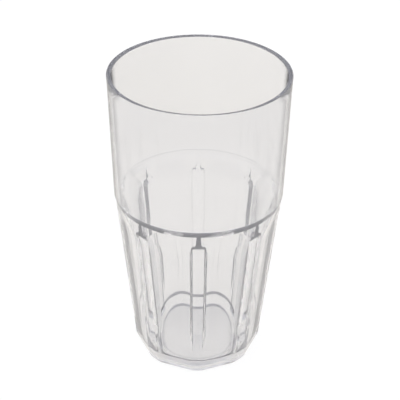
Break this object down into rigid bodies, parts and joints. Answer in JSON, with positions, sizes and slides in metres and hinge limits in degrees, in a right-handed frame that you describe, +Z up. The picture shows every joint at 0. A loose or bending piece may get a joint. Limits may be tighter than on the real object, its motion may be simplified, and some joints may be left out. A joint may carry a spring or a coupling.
{
  "type": "plastic tumbler cup",
  "caption": "Clear moulded plastic stacking tumbler: plain flared collar above a shoulder, flat panels between upright bars below it, inner ribs and a thick rounded base.",
  "frame": {"origin": "centre of the foot, on the plane the cup stands on", "axes": "+Z up along the cup's axis towards the mouth, -Y towards the camera side of the picture, through the middle of one upright bar"},
  "size_m": [0.085, 0.085, 0.1512],
  "materials": {
    "clear_plastic": "water-clear rigid moulded plastic, polished, very slight cool grey tint in the thick places"
  },
  "bodies": {
    "root": {"tumbler": "clear_plastic"}
  },
  "joints": []
}
